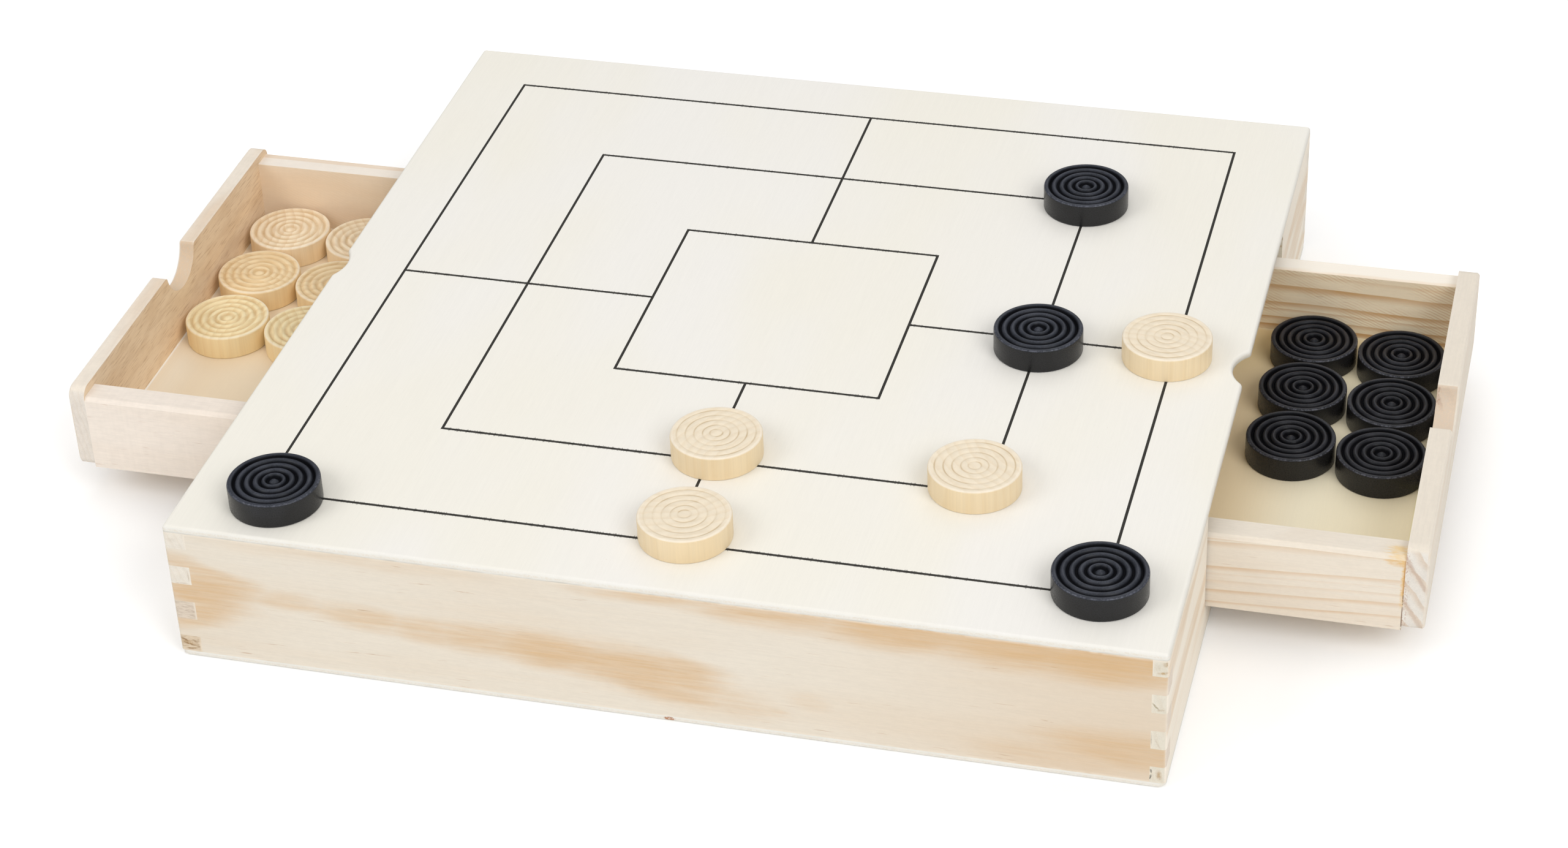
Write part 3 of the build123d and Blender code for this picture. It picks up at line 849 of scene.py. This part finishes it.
def black_wood(name, centre, radius, ridges, seed):
    """Black lacquer on wood: painted shade makes the grooves nearly black and dulls their shine; a thin sheen
    on the ridges.
    """
    s = Shader(name)
    r = from_middle(s, centre)[2]
    fuzz = s.noise((0.35, 0.35, 0.35), 3, 0.6, shift=seed)
    broad = s.noise((5, 5, 5), 2, 0.5, shift=seed + 3)
    colour = s.mix(s.step(broad, 0.35, 0.65), *ridges)
    # Painted shade: the grooves are painted nearly black.
    groove = s.times(groove_lines(s, r, radius, 1.0, 0.25), s.step(s.z, centre[2] - 0.1, centre[2]))
    colour = s.mix(s.times(groove, 0.92), colour, srgb(6, 6, 8))
    colour = s.shade(colour, s.vary(fuzz, 0.8, 1.25))
    lint = s.step(s.noise((0.4, 0.4, 0.4), 1, 0.5, shift=seed + 5), 0.8, 0.86)
    colour = s.mix(s.times(lint, 0.3), colour, srgb(120, 118, 112))
    side = s.step(s.nz, 0.6, 0.2)
    colour = s.mix(s.times(side, 0.85), colour, srgb(26, 25, 23))
    # Broken glints along the rim.
    rim = s.times(s.step(s.off(r, radius - 0.28), 0.26, 0.08), s.step(s.z, centre[2] + 1.0, centre[2] + 1.3))
    glints = s.step(s.noise((0.7, 0.7, 0.7), 2, 0.6, shift=seed + 7), 0.46, 0.6)
    colour = s.mix(s.times(rim, glints, 0.3), colour, srgb(132, 134, 148))
    rough = s.plus(s.vary(fuzz, 0.3, 0.46), s.times(side, -0.06))
    # The painted shade in the grooves also turns down their specular.
    shine = s.step(groove, 0.0, 1.0, 0.3, 0.02)
    return s.finish(colour, rough, s.bump(fuzz, 0.03, 0.6), shine)


def light_wood(name, centre, radius, angle, tones, stored, seed):
    """Pale turned wood, whose grain runs across the piece at the angle."""
    s = Shader(name)
    top_light, top_dark, side_light, side_dark = tones
    du, dv, r = from_middle(s, centre)
    # Growth rings of the rod that the piece was cut from: arcs on top, upright lines round the side.
    along_x, along_y = math.cos(angle), math.sin(angle)
    a = s.plus(s.times(du, along_x), s.times(dv, along_y))
    b = s.minus(s.times(dv, along_x), s.times(du, along_y))
    uneven = s.times(s.noise((9, 9, 40), 2, 0.5, shift=seed), 3)
    part = s.math("FRACT", s.math("DIVIDE", s.plus(a, s.times(b, b, 0.012), uneven), 3.1))
    arcs = s.times(s.step(part, 0.3, 0.9), s.step(part, 1.0, 0.92))
    top = s.step(s.nz, 0.35, 0.75)
    face = s.mix(s.times(arcs, 0.6 if stored else 0.3), top_light, top_dark)
    side = s.mix(s.times(arcs, 0.3), side_light, side_dark)
    upright = s.noise((0.7, 0.7, 30), 3, 0.6, shift=seed + 2)
    side = s.shade(side, s.vary(upright, 0.975, 1.02))
    mottle = s.noise((2.4, 2.4, 2.4), 3, 0.6, shift=seed + 3)
    face = s.shade(face, s.vary(mottle, 0.965, 1.025))
    colour = s.mix(top, side, face)
    # The grooves are darker brown lines, most where they run along the grain, and wider on the stored pieces.
    groove_brown = groove_lines(s, r, radius, 0.95 if stored else 0.36, 0.04)
    sideways = s.step(s.absolute(s.math("DIVIDE", a, s.plus(r, 0.01))), 0.3, 0.95)
    patchy = s.vary(s.noise((5, 5, 5), 2, 0.5, shift=seed + 4), 0.5, 1.0)
    if not stored:
        patchy = s.times(patchy, s.step(sideways, 0, 1, 0.3, 1.0))
    groove_brown = s.times(groove_brown, patchy, top)
    colour = s.mix(s.times(groove_brown, 0.7), colour, srgb(204, 166, 112) if stored else srgb(190, 162, 116))
    pores = s.noise((0.3, 0.3, 0.5), 3, 0.6, shift=seed + 5)
    # A painted highlight along the rim of the top.
    edge_highlight = s.times(s.step(s.off(r, radius - 0.45), 0.6, 0.1), top)
    colour = s.mix(s.times(edge_highlight, 0.4), colour, srgb(250, 240, 224))
    return s.finish(colour, s.vary(pores, 0.42, 0.58), s.bump(pores, 0.02, 0.5), 0.4)


# The black ones' two tones for their ridges: the lacquer in the drawers, and the same lacquer painted
# lighter, as painted light, for the pieces on the board. The pale ones' light and dark tone on top, then
# round the side.
COAL = (srgb(36, 37, 42), srgb(44, 45, 51))
SLATE_PAINTED_LIGHT = (srgb(50, 53, 61), srgb(60, 63, 72))
PALE = (srgb(240, 226, 202), srgb(228, 206, 172), srgb(238, 217, 180), srgb(228, 202, 158))
HONEY = (srgb(242, 218, 176), srgb(226, 194, 146), srgb(246, 220, 174), srgb(232, 200, 150))
BUTTER = (srgb(246, 228, 184), srgb(232, 206, 154), srgb(248, 226, 180), srgb(236, 206, 154))
SAND = (srgb(246, 228, 198), srgb(230, 202, 164), srgb(248, 226, 190), srgb(236, 208, 164))
PIECES_A_SIDE = 10
ON_BOARD = 4  # the first ones; the others lie in the drawers
GROOVE_ZONE = 1.8  # how far under a piece's top its grooves reach at most
for colour_name, wood in (("dark", "black_wood"), ("light", "light_wood")):
    for number in range(1, PIECES_A_SIDE + 1):
        node = f"{colour_name}_piece_{number}"
        low, high = mm_box(node)
        centre = ((low[0] + high[0]) / 2, (low[1] + high[1]) / 2, high[2] - GROOVE_ZONE)
        radius, height = (high[0] - low[0]) / 2, high[2] - low[2]
        stored = number > ON_BOARD
        if colour_name == "dark":
            profile = turned_profile(radius, height, BLACK_ROUND, BLACK_DEPTH, waved=True)
            # Pieces on the board get their ridge tones painted lighter, as painted light.
            ridges = COAL if stored else SLATE_PAINTED_LIGHT
            mat = black_wood("black_wood_%d" % number, centre, radius, ridges, 3.7 * number)
        else:
            depth = PALE_DEPTH if stored else SHALLOW_DEPTH
            profile = turned_profile(radius, height, PALE_ROUND, depth, waved=stored)
            tones = (HONEY, BUTTER, SAND)[number % 3] if stored else PALE
            angle, seed = 1.3 * number, 5.1 * number
            mat = light_wood("light_wood_%d" % number, centre, radius, angle, tones, stored, seed)
        piece = spin("turned_" + node, centre, low[2], profile)
        piece.data.materials.append(mat)
        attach(piece, node)
        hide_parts(node)

# ---------------------------------------------------------------- floor and light
FLOOR_SIZE = 8  # metres
# The floor's glow at the box, past it, and what is added out of the lamps' reach. Then the distances from the
# middle over which the first turns into the second, and over which the last sets in.
GLOW_NEAR, GLOW_PAST, GLOW_FAR = 0.07, 0.2, 0.8
PAST_FROM, PAST_TO = 190, 262
FAR_FROM, FAR_TO = 600, 1500
# The white world: what it lights with, how bright the camera sees it, and its part in what shines.
WORLD_LIGHT, WORLD_SEEN, WORLD_IN_GLOSS = 0.5, 1.0, 0.35
# Name, place and width in metres, power in watts. Every lamp faces the middle of the box.
LAMPS = (
    ("left", (-1.5, -1.3, 1.7), 1.4, 14),
    ("right", (1.5, -1.3, 1.7), 1.4, 22),
    ("front", (0.1, -2.1, 1.6), 1.4, 5),
    ("top", (0.0, 0.2, 2.3), 1.8, 6.5),
    ("back", (0.0, 1.9, 1.8), 1.4, 5),
)

bpy.ops.mesh.primitive_plane_add(size=FLOOR_SIZE, location=(0, 0, 0))
floor = bpy.context.object
floor.name = "floor"
s = Shader("floor")
paper = s.noise((300, 300, 300), 2, 0.5)
s.put(s.bsdf.inputs["Base Color"], s.mix(paper, (0.97, 0.97, 0.97, 1), (0.98, 0.98, 0.98, 1)))
s.bsdf.inputs["Roughness"].default_value = 0.9
s.bsdf.inputs["Specular IOR Level"].default_value = 0.0
s.bsdf.inputs["Emission Color"].default_value = (1, 1, 1, 1)
path = s.add("ShaderNodeLightPath")
# Seen by the camera, the floor glows a little, more past the box, and turns white out of the lamps' reach.
distance = s.length(s.x, s.y)
past = s.step(distance, PAST_FROM, PAST_TO, GLOW_NEAR, GLOW_PAST)
far = s.step(distance, FAR_FROM, FAR_TO, 0.0, GLOW_FAR)
s.put(s.bsdf.inputs["Emission Strength"], s.times(path.outputs["Is Camera Ray"], s.plus(past, far)))
floor.data.materials.append(s.mat)

world = bpy.data.worlds.new("world")
scene.world = world
world.use_nodes = True
tree = world.node_tree
back = tree.nodes["Background"]
path = tree.nodes.new("ShaderNodeLightPath")
strength = tree.nodes.new("ShaderNodeMath")
strength.operation = "MULTIPLY"
ray_levels = (("Is Camera Ray", WORLD_LIGHT, WORLD_SEEN), ("Is Glossy Ray", 1.0, WORLD_IN_GLOSS))
for socket, (ray, otherwise, then) in zip(strength.inputs, ray_levels):
    level = tree.nodes.new("ShaderNodeMapRange")
    tree.links.new(path.outputs[ray], level.inputs["Value"])
    level.inputs["To Min"].default_value = otherwise
    level.inputs["To Max"].default_value = then
    tree.links.new(level.outputs[0], socket)
tree.links.new(strength.outputs[0], back.inputs["Strength"])
back.inputs["Color"].default_value = (1, 1, 1, 1)

for name, place, width, power in LAMPS:
    data = bpy.data.lights.new(name, "AREA")
    data.shape = "DISK"
    data.size = width
    data.energy = power
    lamp = bpy.data.objects.new(name, data)
    lamp.location = place
    lamp.rotation_euler = (-Vector(place)).to_track_quat("-Z", "Y").to_euler()
    scene.collection.objects.link(lamp)
